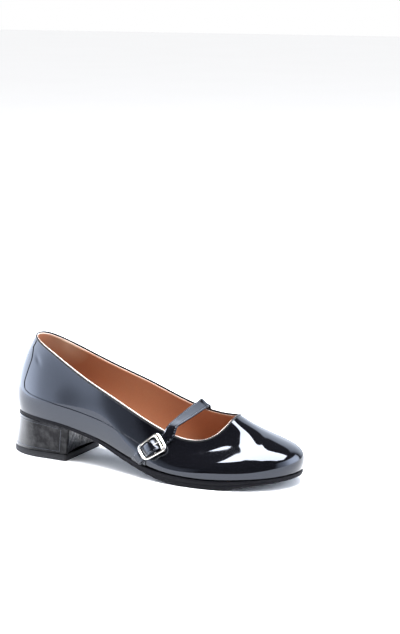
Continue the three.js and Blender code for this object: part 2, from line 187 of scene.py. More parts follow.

# %% [markdown]
# ## Lining leather, cut edges and thread
# The lining is tan pigskin: matt and fine-grained, with a paler patch painted inside the back of the
# heel near its top as a highlight. Its cut edge shows paler than its face, because the dye doesn't
# reach the middle of the hide.

# %% Lining, raw edge, thread
def lining_leather():
    finish = Finish("tan_lining_leather", Specular_IOR_Level=0.35)
    patches = finish.noise(26, 3.0, 0.6)
    grain = finish.noise(900, 3.0)
    pores = finish.node("ShaderNodeTexVoronoi", {}, Vector=finish.place, Scale=1400.0)
    colour = finish.blend(patches, (0.300, 0.130, 0.068, 1), (0.345, 0.156, 0.085, 1))
    colour = finish.blend(grain * 0.35, colour, (0.215, 0.092, 0.047, 1))
    # painted highlight: a paler beige patch inside the heel near its top, where light catches the
    # lining
    wear_and_painted_highlight = finish.near((-0.088, 0.016, 0.083), 0.020)
    colour = finish.blend(wear_and_painted_highlight * 0.75, colour, (0.55, 0.42, 0.31, 1))
    relief = finish.bump(grain + pores * 0.5, 0.00006)
    return finish.feed(Base_Color=colour, Roughness=grain * 0.2 + 0.46, Normal=relief)


def raw_edge():
    finish = Finish("raw_lining_edge", Roughness=0.6)
    fibres = finish.noise(1700, 3.0)
    colour = finish.blend(fibres, (0.90, 0.72, 0.62, 1), (0.98, 0.87, 0.80, 1))
    return finish.feed(Base_Color=colour, Normal=finish.bump(fibres, 0.00008))


def inked_fold():
    finish = Finish("inked_fold", Specular_IOR_Level=0.25)
    wear_and_painted_highlight = finish.noise(160, 3.0)
    colour = finish.blend(wear_and_painted_highlight, (0.0025, 0.0025, 0.003, 1), (0.006, 0.006, 0.007, 1))
    return finish.feed(Base_Color=colour, Roughness=wear_and_painted_highlight * 0.2 + 0.3)


def mottled_patent():
    """Patent over the heel: the wrapping is stretched, so its film is uneven towards the breast."""
    finish = Finish("heel_patent_leather", Specular_IOR_Level=0.1, Coat_IOR=1.5, Coat_Roughness=0.06,
                    Coat_Tint=(0.9, 0.93, 1.0, 1))
    along = finish.node("ShaderNodeSeparateXYZ", {}, finish.place, output="X")
    front = ((along + 0.105) / 0.012).clamped()
    blotches = finish.noise(120, 3.0, 0.65)
    uneven = finish.bump(blotches * front, 0.0011)
    colour = finish.blend(blotches, (0.0012, 0.0012, 0.0018, 1), (0.0045, 0.0045, 0.006, 1))
    film = 0.7 - front * (1 - blotches) * 1.2
    return finish.feed(Base_Color=colour, Roughness=front * 0.12 + 0.05, Coat_Weight=film.clamped(),
                       Normal=uneven)


def thread():
    finish = Finish("bonded_thread", Roughness=0.3, IOR=1.55)
    twist = finish.node("ShaderNodeTexWave", {"bands_direction": "DIAGONAL"},
                        Vector=finish.place, Scale=900.0)
    colour = finish.blend(twist, (0.03, 0.032, 0.04, 1), (0.09, 0.095, 0.115, 1))
    return finish.feed(Base_Color=colour, Normal=finish.bump(twist, 0.00005))


FINISHES["lining"] = lining_leather()
FINISHES["raw edge"] = raw_edge()
FINISHES["inked fold"] = inked_fold()
FINISHES["heel patent"] = mottled_patent()
FINISHES["thread"] = thread()
print("lining, edge and thread made")

# %% [markdown]
# ## Sole, heel rubber and buckle metal
# The sole's edge is inked and waxed black. The heel's top piece is moulded rubber, dull and
# slightly dusty near the ground. The buckle is cast zinc with a pale plating, polished but with
# hair scratches.

# %% Sole, rubber, metal
def sole_leather():
    finish = Finish("inked_sole", Specular_IOR_Level=0.06)
    speckle = finish.noise(700, 4.0)
    worn = finish.noise(60, 3.0)
    colour = finish.blend(speckle, (0.0025, 0.0025, 0.0035, 1), (0.007, 0.007, 0.009, 1))
    relief = finish.bump(speckle, 0.00006)
    return finish.feed(Base_Color=colour, Roughness=worn * 0.25 + 0.38, Normal=relief)


def heel_rubber():
    finish = Finish("heel_rubber", Specular_IOR_Level=0.15)
    speckle = finish.noise(1100, 4.0)
    height = finish.node("ShaderNodeSeparateXYZ", {}, finish.place, output="Z")
    dust = (1 - height / 0.004).clamped()
    colour = finish.blend(speckle, (0.008, 0.008, 0.009, 1), (0.018, 0.018, 0.020, 1))
    colour = finish.blend(dust * 0.35, colour, (0.06, 0.06, 0.063, 1))
    return finish.feed(Base_Color=colour, Roughness=speckle * 0.2 + 0.6,
                       Normal=finish.bump(speckle, 0.00008))


def buckle_metal():
    finish = Finish("pale_plated_metal", Metallic=1.0)
    hairs = finish.noise(2600, 2.0)
    clouds = finish.noise(300, 2.0)
    colour = finish.blend(clouds, (0.86, 0.81, 0.74, 1), (0.93, 0.90, 0.85, 1))
    return finish.feed(Base_Color=colour, Roughness=clouds * 0.12 + 0.12,
                       Normal=finish.bump(hairs, 0.000008))


FINISHES["sole"] = sole_leather()
FINISHES["rubber"] = heel_rubber()
FINISHES["metal"] = buckle_metal()
print("finishes:", len(FINISHES))

# %% [markdown]
# ## The last
# The last is described by ribs, like a boat. Each rib stands on the edge of the sole and ends
# at the topline. A closed smooth curve carries every number of the ribs round the shoe, so the
# surface is smooth however finely it is cut.

# %% Ribs of the last
RIB_COLUMNS = ("along", "outer", "inner", "top along", "top outer", "top inner",
               "rise outer", "rise inner", "flare", "low", "roll", "high")
RIBS = {
    "heel centre": (1.0, 0, 0, 6.8, 0, 0, 100.6, 100.6, 12, 22, 36, 22),
    "heel round": (3.6, 22.5, 22.5, 9.6, 16.5, 16.5, 98, 96.4, 12, 20, 26, 20),
    "seat": (12.2, 34.2, 33.8, 18.4, 26, 26, 88, 85.6, 12, 18, 14, 18),
    "quarter": (25.2, 35.6, 33.8, 30.2, 32, 32, 73, 72.6, 12, 14, 10, 14),
    "waist": (38.8, 37.6, 32.6, 42.4, 36, 35.2, 59.4, 61.4, 16, 12, 10, 12),
    "strap": (52.2, 45.2, 38.8, 54.7, 36, 35.6, 44.2, 50, 20, 10, 16, 12),
    "ball": (65.3, 50.8, 48.2, 65.6, 31.2, 32, 33.8, 44.6, 20, 10, 30, 12),
    "toe side": (78.4, 47.8, 49.4, 73, 22.5, 27, 34.6, 45, 14, 15, 42, 19),
    "toe corner": (89.8, 36, 42, 76.4, 11, 22, 41.8, 46.6, 15, 18, 48, 24),
    "toe front": (97, 17.5, 26, 77.8, 1.5, 16, 47.8, 48.2, 20, 23, 56, 31),
    "toe tip": (99.5, -5, 5, 78.1, -8, 8, 49.5, 49.5, 22, 26, 60, 34),
}
BOTTOM_LINE = np.array([
    (-4, 36.7), (0, 36.4), (12, 34.0), (24, 30.4), (36, 23.6), (48, 14.2), (60, 8.2),
    (70, 6.7), (80, 6.9), (90, 8.4), (100, 10.2), (104, 11.0)])


def rib_row(rib, side):
    r = dict(zip(RIB_COLUMNS, rib))
    along = LENGTH / 100
    across = BALL_WIDTH / 100 * (-1 if side == "outer" else 1)
    return (r["along"] * along, r[side] * across, r["top along"] * along,
            r["top " + side] * across, r["rise " + side] * BACK_HEIGHT / 100,
            r["flare"], r["low"], r["roll"], r["high"])


INNER_RIBS = list(RIBS.values())[-2:0:-1]
LAST = np.array([rib_row(r, "outer") for r in RIBS.values()]
                + [rib_row(r, "inner") for r in INNER_RIBS], float)
RIB_COUNT = len(LAST)
print("ribs round the last:", RIB_COUNT)

# %% [markdown]
# The ribs are joined by a cubic B-spline. Its control rows are found by going round them until
# the curve passes through the ribs themselves.

# %% Smooth curves
def control_rows(rows):
    control = rows
    for _ in range(60):
        control = (6 * rows - np.roll(control, 1, 0) - np.roll(control, -1, 0)) / 4
    return control


LAST_CONTROL = control_rows(LAST)


def round_last(u, slope=False):
    """The nine numbers of the rib at u, or how fast they change."""
    i = np.floor(u).astype(int)
    t = u - i
    if slope:
        weights = (-(1 - t) ** 2 / 2, (9 * t * t - 12 * t) / 6, (-9 * t * t + 6 * t + 3) / 6,
                   t * t / 2)
    else:
        weights = ((1 - t) ** 3 / 6, (3 * t ** 3 - 6 * t * t + 4) / 6,
                   (-3 * t ** 3 + 3 * t * t + 3 * t + 1) / 6, t ** 3 / 6)
    return sum(w[:, None] * LAST_CONTROL[(i - 1 + k) % RIB_COUNT] for k, w in enumerate(weights))


def smooth_line(table, x):
    """Smooth height through (place, height) rows."""
    place, height = np.array(table).T
    x = np.clip(x, place[0], place[-1])
    chord = np.diff(height) / np.diff(place)
    slope = np.concatenate([chord[:1], (chord[:-1] + chord[1:]) / 2, chord[-1:]])
    i = np.clip(np.searchsorted(place, x) - 1, 0, len(place) - 2)
    width = place[i + 1] - place[i]
    t = (x - place[i]) / width
    return ((2 * t ** 3 - 3 * t * t + 1) * height[i] + (3 * t * t - 2 * t ** 3) * height[i + 1]
            + width * ((t ** 3 - 2 * t * t + t) * slope[i] + (t ** 3 - t * t) * slope[i + 1]))


def bottom_line(x):
    return smooth_line(BOTTOM_LINE, np.asarray(x) * 100 / LENGTH)


def unit(rows):
    return rows / np.linalg.norm(rows, axis=-1, keepdims=True)


def columns(*values):
    return np.stack(np.broadcast_arrays(*values), axis=-1).astype(float)


print("feather height at ball:", round(float(bottom_line(170)), 1), "mm")

# %% [markdown]
# A point of the last is given by its rib `u`, from 0 at the back of the heel, along the outer
# side to 10 at the toe and back along the inner side to 20, and by `v`, from 0 at the sole to 1
# at the topline. A rib is one Bezier curve: it leaves the sole flaring outwards and rolls in
# over the foot.

# %% Points and normals of the last
def outward(dx, dy):
    return unit(columns(dy, -dx, 0))


def lean(level, degrees):
    angle = np.radians(degrees)[:, None]
    return level * np.sin(angle) + np.array((0, 0, 1)) * np.cos(angle)


def last_points(u, v):
    x, y, top_x, top_y, top_z, flare, low, roll, high = round_last(u).T
    slope = round_last(u, slope=True)
    foot = columns(x, y, bottom_line(x))
    top = columns(top_x, top_y, top_z)
    first = foot + lean(outward(slope[:, 0], slope[:, 1]), flare) * low[:, None]
    second = top - lean(-outward(slope[:, 2], slope[:, 3]), roll) * high[:, None]
    v = v[:, None]
    return ((1 - v) ** 3 * foot + 3 * (1 - v) ** 2 * v * first
            + 3 * (1 - v) * v * v * second + v ** 3 * top)


def last_normals(u, v, points=last_points):
    e = 0.01
    around = points(u + e, v) - points(u - e, v)
    up = points(u, np.minimum(v + e, 1)) - points(u, np.maximum(v - e, 0))
    return unit(np.cross(around, up))


def at_last(u, v):
    return last_points(np.array([u]), np.array([v]))[0]


print("back of the topline:", np.round(at_last(0, 1), 1))

# %% [markdown]
# ## Creases
# Patent doesn't hang in folds, but it isn't a perfect shell either. There is a small dent beside
# the strip up the back, and lasting has drawn two soft ridges beside the throat, which break up
# the reflection on the toe. Each is listed: where its middle is, how it is turned from
# the line round the shoe, how long and wide it is in millimetres, and how far it rises or sinks.

# %% Dents and ridges of the leather
CREASES = [
    # rib, height, turned, long, wide, rise
    (1.42, 0.79, -35, 5, 1.6, -0.35),
    (8.86, 0.93, 90, 9, 4.2, 0.75),
    (9.20, 0.66, 60, 8, 3.0, 0.30),
]


def crease_height(points):
    total = np.zeros(len(points))
    for rib, height, turned, long, wide, rise in CREASES:
        middle = at_last(rib, height)
        round_shoe = unit(at_last(rib + 0.05, height) - middle)
        up_shoe = unit(at_last(rib, height + 0.02) - middle)
        angle = math.radians(turned)
        along = round_shoe * math.cos(angle) + up_shoe * math.sin(angle)
        across = up_shoe * math.cos(angle) - round_shoe * math.sin(angle)
        offset = points - middle
        total += rise * np.exp(-(offset @ along / long) ** 2 - (offset @ across / wide) ** 2
                               - (np.linalg.norm(offset, axis=1) / (3 * long)) ** 2)
    return total


def leather_points(u, v, out=0.0):
    """Points of the upper's outer face with its creases, moved out by a distance."""
    points = last_points(u, v)
    shift = crease_height(points) + out
    return points + last_normals(u, v) * np.reshape(shift, (-1, 1))


print("creases:", len(CREASES))

# %% [markdown]
# ## Two ways of making a mesh
# Almost every piece is either a sheet laid on a surface or a section carried along a path. A
# sheet starts as a flat grid whose vertices are then laid in place. A sweep starts as a circle
# of vertices that is extruded from one station to the next.

# %% Laying a sheet
def laid_sheet(around, rows, place):
    bm = bmesh.new()
    bmesh.ops.create_grid(bm, x_segments=around, y_segments=rows, size=0.5)
    chart = bm.loops.layers.uv.new("UVMap")
    for face in bm.faces:
        for loop in face.loops:
            loop[chart].uv = (loop.vert.co.x + 0.5, loop.vert.co.y + 0.5)
    flat = np.array([v.co[:2] for v in bm.verts]) + 0.5
    for vert, point in zip(bm.verts, place(flat[:, 0], flat[:, 1])):
        vert.co = point
    return bm


def grown_ring(bm, ring):
    """Extrudes a ring of vertices and gives the new ring in the same order."""
    edges = [bm.edges.get((a, b)) for a, b in zip(ring, ring[1:] + ring[:1])]
    grown = bmesh.ops.extrude_edge_only(bm, edges=edges)["geom"]
    new = {v for v in grown if isinstance(v, bmesh.types.BMVert)}
    return [next(e.other_vert(v) for e in v.link_edges if e.other_vert(v) in new) for v in ring]


def swept(places, across, normal, section, sizes=None):
    """Carries a section of (across, out) pairs along stations, and closes its ends."""
    bm = bmesh.new()
    ring = bmesh.ops.create_circle(bm, radius=1, segments=len(section))["verts"]
    sizes = np.ones(len(places)) if sizes is None else sizes
    for i, (p, a, n, size) in enumerate(zip(places, across, normal, sizes)):
        ring = grown_ring(bm, ring) if i else ring
        for vert, (x, y) in zip(ring, section):
            vert.co = p + a * x * size + n * y * size
    bmesh.ops.remove_doubles(bm, verts=bm.verts, dist=MERGE)
    bmesh.ops.holes_fill(bm, edges=[e for e in bm.edges if e.is_boundary], sides=0)
    return bm


print("mesh helpers ready")

# %% [markdown]
# A finished mesh has its doubles merged and its faces turned outwards. Then it goes to the
# frame, is given its finish, rides on the shoe's one body and hides any solid that it replaces.

# %% Finishing a piece
def made(name, bm, finish, replaces=(), sharp=None):
    bmesh.ops.remove_doubles(bm, verts=bm.verts, dist=MERGE)
    bmesh.ops.dissolve_degenerate(bm, edges=bm.edges, dist=MERGE / 4)
    bmesh.ops.recalc_face_normals(bm, faces=bm.faces)
    bm.transform(TO_FRAME)
    mesh = bpy.data.meshes.new(name)
    bm.to_mesh(mesh)
    bm.free()
    mesh.shade_smooth()
    if sharp:
        mesh.set_sharp_from_angle(angle=math.radians(sharp))
    mesh.materials.append(FINISHES[finish])
    piece = bpy.data.objects.new(name, mesh)
    bpy.context.collection.objects.link(piece)
    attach(piece, "root")
    for node in replaces:
        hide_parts(node)
    print(f"{name}: {len(mesh.polygons)} faces")
    return piece


# %% [markdown]
# ## The upper's shell
# The outer leather is cut, skived thin at its top and folded over. It is one sheet here too,
# laid up the outside of the last, over a round fold and down again a little way inside, where
# the lining covers it. The far side's fold stands a shade higher and the near side's lining
# edge stands a shade prouder, as hand-turned edges do.

# %% Upper shell
SHELL = 0.8  # leather without its lining
FOLD_RADIUS = SHELL / 2


def shell_profile():
    outside = [(v, 0, 0) for v in np.linspace(0, 1, 57) ** 0.94]
    fold = [(1, FOLD_RADIUS * (1 - math.cos(a)), FOLD_RADIUS * math.sin(a))
            for a in np.radians(np.arange(22.5, 180, 22.5))]
    inside = [(v, SHELL, 0) for v in (1, 0.97, 0.9, 0.75, 0.5, 0.25, 0)]
    return np.array(outside + fold + inside + [(0, 0, 0)])


def lateral(u):
    """1 on the outer side of the foot, -1 on the inner side, smooth between them."""
    return np.tanh(2.5 * np.sin(2 * np.pi * (u - 0.5) / RIB_COUNT))


def fold_lift(u):
    return 0.65 * (1 - lateral(u))


def edge_lift(u):
    return 0.28 + 0.38 * lateral(u)


def rim_points(u, v, depth, rise):
    """Points near the topline: depth goes through the wall, rise goes up beyond it."""
    up = unit(last_points(u, np.ones_like(u)) - last_points(u, np.full_like(u, 0.97)))
    inner = last_normals(u, v) * np.reshape(depth, (-1, 1))
    return leather_points(u, v) - inner + up * np.reshape(rise, (-1, 1))


def on_profile(profile, t):
    row = t * (len(profile) - 1)
    return [np.interp(row, np.arange(len(profile)), column) for column in profile.T]


def upper_shell():
    profile = shell_profile()

    def place(s, t):
        u = s * RIB_COUNT
        v, depth, rise = on_profile(profile, t)
        lift = fold_lift(u) * np.clip((v - 0.96) / 0.04, 0, 1)
        return rim_points(u, v, depth, rise + lift)

    return laid_sheet(440, len(profile) - 1, place)


made("upper_shell", upper_shell(), "patent", replaces=["upper"])

# %% [markdown]
# ## Lining and its raw edge
# The lining is stuck to the inside of the shell and trimmed with a knife just under the fold.
# Its cut edge is the pale line that follows the whole topline, so it is a piece of its own: a
# narrow bead with a soft round top.

# %% Lining and raw edge
EDGE_HALF = 0.29
EDGE_DEPTH = SHELL + EDGE_HALF + 0.03
# The pale bead is the lining's own cream edge, and its swell at the throat also paints in the
# highlight that the fold catches there.
THROAT_RIB, THROAT_REACH = 7.9, 1.1  # where the bead swells, and how far round, in ribs


def lining():
    inside = [(v, WALL, 0) for v in np.linspace(0, 1, 34)]
    back = [(v, SHELL + 0.05, 0) for v in (1, 0.9, 0.6, 0.3, 0)]
    profile = np.array(inside + back + inside[:1])

    def place(s, t):
        v, depth, rise = on_profile(profile, t)
        return rim_points(s * RIB_COUNT, v, depth, rise)

    return laid_sheet(220, len(profile) - 1, place)


def topline_bead(depth, lift, half_width, half_height, swell=0, steps=480, sides=12):
    """A bead all round the topline, at a depth in the wall; swell widens it at the throat."""
    u = np.linspace(0, RIB_COUNT, steps + 1)
    one = np.ones_like(u)
    place = rim_points(u, one, depth * one, lift(u) - half_height * 0.7)
    inwards = -last_normals(u, one)
    along = unit(np.roll(place[:-1], -1, 0) - np.roll(place[:-1], 1, 0))
    along = np.vstack([along, along[:1]])
    up = unit(np.cross(inwards, along))
    up *= np.sign(up[:, 2:3])
    angles = np.arange(sides) * 2 * np.pi / sides
    section = [(half_width * math.cos(a), half_height * math.sin(a)) for a in angles]
    sizes = 1 + swell * np.exp(-((u - THROAT_RIB) / THROAT_REACH) ** 2)
    return swept(place, inwards, up, section, sizes)


made("lining", lining(), "lining")
made("lining_raw_edge", topline_bead(EDGE_DEPTH, edge_lift, EDGE_HALF, 0.5, swell=0.35), "raw edge")
made("topline_fold", topline_bead(0.34, fold_lift, 0.68, 0.85), "inked fold")

# %% [markdown]
# ## Heel counter
# A strip runs down the back of the shoe and widens into a band along the sole, which meets the
# strap at the waist on both sides. It is a second layer of patent, so its edge stands half a
# millimetre proud and is slightly rounded. The seam is a line of (rib, height) points, and for
# each the foot column says where on the sole's edge its strand of leather ends.

# %% Counter panel
COUNTER_THICK = 0.5
COUNTER_ROWS = 22
COUNTER_SEAM = np.array([
    # rib, height, rib at the foot
    (0, 1, 0), (0.5, 1, 0.3), (1.03, 1, 0.6), (0.92, 0.92, 0.68), (1.08, 0.83, 0.78),
    (1.17, 0.75, 0.85), (1.22, 0.6, 0.98), (1.27, 0.43, 1.12), (1.40, 0.34, 1.35),
    (1.7, 0.31, 1.7), (2.1, 0.31, 2.1), (2.6, 0.325, 2.6), (3.0, 0.36, 3.0), (3.4, 0.395, 3.4),
    (4.05, 0.455, 4.05), (4.5, 0.485, 4.5), (5.25, 0.5, 5.25)])
COUNTER_EDGE = [
    # back from the seam, height over the upper
    (0.02, -0.25), (0, 0.1), (0.03, 0.32), (0.14, 0.44), (0.32, 0.49), (0.7, COUNTER_THICK)]


def counter_panel(strands=420):
    outer = COUNTER_SEAM
    inner = outer[:0:-1] * (-1, 1, -1)
    seam = np.vstack([inner, outer])
    marks = last_points(seam[:, 0], seam[:, 1])
    walked = np.concatenate([[0], np.cumsum(np.linalg.norm(np.diff(marks, axis=0), axis=1))])
    steps = np.linspace(0, walked[-1], strands + 1)
    smooth = np.stack([np.interp(steps, walked, c) for c in seam.T], axis=1)
    kernel = np.array([1, 2, 3, 2, 1]) / 9
    for column in smooth.T:
        column[2:-2] = np.convolve(column, kernel, "valid")
    seam_u, seam_v, foot_u = smooth.T
    strand = np.linalg.norm(last_points(seam_u, seam_v) - last_points(foot_u, 0 * foot_u), axis=1)
    edge = COUNTER_EDGE
    down = [(0.9 * k / COUNTER_ROWS, COUNTER_THICK) for k in range(1, COUNTER_ROWS + 1)]

    def place(s, t):
        i = np.rint(s * strands).astype(int)
        row = np.rint(t * (len(edge) + len(down))).astype(int)
        back = np.array([b for b, _ in edge] + [0] * (len(down) + 1))[row]
        share = np.array([0.0] * len(edge) + [d for d, _ in down] + [1.0])[row]
        height = np.array([h for _, h in edge] + [h for _, h in down] + [COUNTER_THICK])[row]
        w = (1 - back / strand[i])
        w = np.where(share > 0, (1 - 0.7 / strand[i]) * (1 - share), w)
        u = foot_u[i] + (seam_u[i] - foot_u[i]) * w
        v = seam_v[i] * w
        at_top = np.clip((1 - v) / 0.04, 0, 1)
        return leather_points(u, v, height * np.where(height > 0, at_top, 1))

    return laid_sheet(strands, len(edge) + len(down), place)


made("heel_counter", counter_panel(), "patent")

# %% [markdown]
# ## Sole
# The sole is thin, with a waxed edge that stands out a little all round and a groove along it
# where the welt ends. The sheet starts on the middle line of its top face, goes out over the
# edge and comes back to the middle line underneath, so its two halves join there.

# %% Outsole and insole
# millimetres at shares of the length, in percent
SOLE_THICKNESS = [(0, 3.0), (36, 3.2), (50, 4.4), (62, 6.0), (70, 6.6), (80, 6.6), (90, 4.2),
                  (100, 3.0)]
SOLE_EDGE = [(0, 0.5), (24, 0.6), (40, 1.4), (84, 1.4), (98, 0.4)]
FULL_EDGE = 1.5  # the edge that the profile below is drawn for
SOLE_PROFILE = np.array([
    # share towards the middle, out from the last, share of the thickness down
    (0.5, 0, 0), (0.35, 0, 0), (0.2, 0, 0), (0.1, 0.3, 0), (0.04, 0.8, 0), (0, 1.2, 0),
    (0, 1.42, 0.06), (0, 1.5, 0.16), (0, 1.5, 0.36), (0, 1.32, 0.41), (0, 1.32, 0.45),
    (0, 1.5, 0.50), (0, 1.48, 0.78), (0, 1.36, 0.90), (0, 1.1, 0.98), (0, 0.7, 1), (0, 0, 1),
    (0.05, -0.5, 1), (0.12, 0, 1), (0.2, 0, 1), (0.35, 0, 1), (0.5, 0, 1)])


def sole_top(x):
    return bottom_line(x) - GAP


def sole_bottom(x):
    return np.maximum(0, sole_top(x) - smooth_line(SOLE_THICKNESS, np.asarray(x) * 100 / LENGTH))


def sole_edge(x):
    return smooth_line(SOLE_EDGE, np.asarray(x) * 100 / LENGTH)


def sole_edge_points(u, out):
    row, slope = round_last(u), round_last(u, slope=True)
    return row[:, :2] + outward(slope[:, 0], slope[:, 1])[:, :2] * np.reshape(out, (-1, 1))


def across_sole(u, share, out):
    """Level place on the sole: share 0 is its edge, 0.5 its middle line."""
    here = sole_edge_points(u, out)
    there = sole_edge_points(RIB_COUNT - u, out)
    return here + (there - here) * np.reshape(share, (-1, 1))


def outsole():
    def place(s, t):
        share, out, down = on_profile(SOLE_PROFILE, t)
        u = s * RIB_COUNT
        xy = across_sole(u, share, out - FULL_EDGE + sole_edge(round_last(u)[:, 0]))
        top, bottom = sole_top(xy[:, 0]), sole_bottom(xy[:, 0])
        return columns(xy[:, 0], xy[:, 1], top + (bottom - top) * down)

    return laid_sheet(320, len(SOLE_PROFILE) - 1, place)


INSOLE_PROFILE = np.array([
    # share towards the middle, out from the last, height
    (0.5, -2.3, 0), (0.2, -2.3, 0), (0, -2.3, 0), (0, -2.3, 1.2), (0, -2.4, 1.7), (0, -2.8, 1.95),
    (0, -3.4, 2), (0.06, -3.4, 2), (0.14, -3.4, 2), (0.25, -3.4, 2), (0.37, -3.4, 2),
    (0.5, -3.4, 2)])


def insole():
    def place(s, t):
        share, out, height = on_profile(INSOLE_PROFILE, t)
        xy = across_sole(s * RIB_COUNT, share, out)
        return columns(xy[:, 0], xy[:, 1], bottom_line(xy[:, 0]) + height)

    return laid_sheet(200, len(INSOLE_PROFILE) - 1, place)


made("outsole_fine", outsole(), "sole", replaces=["outsole"], sharp=50)
made("insole_sock", insole(), "lining", replaces=["insole"])

# %% [markdown]
# ## Heel
# The block heel is wood or plastic wrapped in the same patent. Its outline is a round back, two
# straight sides, small corners and a slightly hollow breast, and it grows from the ground to
# the seat. Under it sits the rubber top piece, and a fine raised line runs along the edges of
# the wrapping, where its border has been pressed down.

# %% Heel outline
HEEL_LEVELS = np.array([
    # level, back, breast, half-width
    (0, -4.4, 56.4, 25.8), (0.5, -1.6, 58.0, 26.3), (1, 0.8, 60.2, 27.2)])
HEEL_ROUND = 30
HEEL_CORNER = 2
BREAST_HOLLOW = 1.6
TOP_PIECE = 5
BACK_POINTS, CORNER_POINTS = 41, 9


def heel_outline():
    """Points round the heel: what each is made of, as (kind, first, second)."""
    back = [("round", math.cos(a), math.sin(a)) for a in np.linspace(0, math.pi / 2, BACK_POINTS)]
    side = [("side", k, 1) for k in np.linspace(0, 1, 13)[1:-1]]
    turn = np.linspace(0, math.pi / 2, CORNER_POINTS)
    corner = [("corner", 1 - math.sin(a), 1 - math.cos(a)) for a in turn]
    breast = [("breast", y, 0) for y in np.linspace(1, 0, 13)[1:]]
    return back + side + corner + breast


HEEL_OUTLINE = heel_outline()


def heel_half(i, back, breast, half):
    kind, a, b = HEEL_OUTLINE[i]
    if kind == "round":
        return HEEL_ROUND - (HEEL_ROUND - back) * a, half * b
    if kind == "side":
        return HEEL_ROUND + (breast - HEEL_CORNER - HEEL_ROUND) * a, half
    if kind == "corner":
        return breast - HEEL_CORNER * a, half - HEEL_CORNER * b
    y = a * (1 - HEEL_CORNER / half)
    return breast - BREAST_HOLLOW * (1 - a * a), half * y


def heel_point(i, level, grow=0.0, share=0.0):
    """Level place on the heel's outline, grown outwards; share 0.5 is its middle line."""
    back, breast, half = (np.interp(level, HEEL_LEVELS[:, 0], c) for c in HEEL_LEVELS.T[1:])
    last = len(HEEL_OUTLINE) - 1
    side = 1 if i <= last else -1
    k = i if i <= last else 2 * last - i
    x, y = heel_half(k, back - grow, breast + grow, half + grow)
    return x, side * y * (1 - 2 * share)


def heel_height(x, level):
    floor = TOP_PIECE + GAP
    return floor + (sole_bottom(x) - GAP - floor) * level


HEEL_STEPS = 2 * (len(HEEL_OUTLINE) - 1)
print("points round the heel:", HEEL_STEPS)

# %% [markdown]
# The block and its top piece are sheets again. Their rows start on the middle line of the top
# face and end on the middle line of the lower one, with a small round edge between.

# %% Heel block and top piece
BLOCK_PROFILE = np.array(
    [(0.5, 1, 0), (0.2, 1, 0), (0, 1, -0.7), (0, 0.993, -0.2), (0, 0.97, 0)]
    + [(0, level, 0) for level in np.linspace(0.93, 0.07, 16)]
    + [(0, 0.03, 0), (0, 0.007, -0.2), (0, 0, -0.7), (0.2, 0, 0), (0.5, 0, 0)])
TOP_PIECE_PROFILE = np.array([
    # share towards the middle, height, grow
    (0.5, 5, 0), (0.2, 5, 0), (0, 5, -0.5), (0, 4.85, -0.25), (0, 4.6, -0.2), (0, 3.4, -0.2),
    (0, 2, -0.2), (0, 0.6, -0.2), (0, 0.25, -0.3), (0, 0, -0.7), (0.2, 0, -0.7), (0.5, 0, -0.7)])


def heel_sheet(profile, height):
    def place(s, t):
        share, up, grow = on_profile(profile, t)
        i = np.rint(s * HEEL_STEPS).astype(int)
        xy = np.array([heel_point(k, height(h)[0], g, c) for k, h, g, c in zip(i, up, grow, share)])
        z = [height(h)[1](x) for (x, _), h in zip(xy, up)]
        return columns(xy[:, 0], xy[:, 1], z)

    return laid_sheet(HEEL_STEPS, len(profile) - 1, place)


made("heel_wrapped_block", heel_sheet(BLOCK_PROFILE, lambda h: (h, lambda x: heel_height(x, h))),
     "heel patent", replaces=["heel_block"], sharp=50)
made("heel_rubber_top_piece", heel_sheet(TOP_PIECE_PROFILE, lambda h: (0, lambda x: h)),
     "rubber", replaces=["heel_top_piece"], sharp=50)

# %% Pressed border of the heel's wrapping
BORDER_IN = 0.09  # share of the heel's height between its edge and the border line
BORDER_RADIUS = 0.28


def heel_border():
    last = len(HEEL_OUTLINE) - 1
    front = BACK_POINTS + CORNER_POINTS
    top = [(i, 1 - BORDER_IN) for i in range(front, -1, -1)]
    top += [(2 * last - i, 1 - BORDER_IN) for i in range(1, front + 1)]
    levels = np.linspace(1 - BORDER_IN, BORDER_IN, 12)
    down = [(2 * last - front, level) for level in levels[1:-1]]
    bottom = [(i, BORDER_IN) for i, _ in reversed(top)]
    up = [(front, level) for level in levels[::-1][1:-1]]
    marks = top + down + bottom + up
    return marks + marks[:1]


def bead_on_heel():
    places, out = [], []
    for i, level in heel_border():
        x, y = heel_point(i, level, 0.02)
        far_x, far_y = heel_point(i, level, 1.02)
        places.append((x, y, heel_height(x, level)))
        out.append((far_x - x, far_y - y, 0))
    places, out = np.array(places), unit(np.array(out))
    along = unit(np.roll(places[:-1], -1, 0) - np.roll(places[:-1], 1, 0))
    along = np.vstack([along, along[:1]])
    across = unit(np.cross(along, out))
    section = [(BORDER_RADIUS * math.cos(a), BORDER_RADIUS * 0.8 * math.sin(a))
               for a in np.radians(np.arange(0, 360, 36))]
    return swept(places, across, out, section)


made("heel_border_line", bead_on_heel(), "patent")

# %% [markdown]
# ## Where the strap runs
# The strap lies over the foot and down the outer side to the buckle. Stations along a smooth
# curve hold its place, the direction across it and the direction away from the foot.

# %% Stations of a strap
STRAP_WIDTH = 9
STRAP_THICK = 1.3
STRAP_LIFT = 0.5
ANCHOR_WIDTH = 10
ANCHOR_THICK = 0.7
OUTER_FOOT, OUTER_TOP, BUCKLE_AT = 4.95, 5.6, 0.545
INNER_FOOT, INNER_TOP = 15.0, 14.35
INNER_MARKS = (0.95, 0.86, 0.72, 0.58, 0.42)
STRAP_ARCH = [
    # place, and how far the front edge falls for each millimetre across
    ((150.6, -23.5, 39.1), -0.06), ((150.9, -12, 41.6), 0.14), ((151.2, 0, 43.5), 0.4),
    ((151.4, 12, 45.2), 0.55), ((151.7, 21.5, 46.5), 0.7), ((152, 27.2, 47.1), 0.8)]
STRAP_HEIGHTS = [
    # from the buckle's centre bar, height over the upper
    (-16, 2.4), (-12, 2.4), (-9, 2.25), (-6, 2.9), (-3, 4.2), (0, 4.95), (3, 3.7),
    (5.4, 1.5), (7.4, 1.1), (11, 1.3), (15.2, 1.65)]
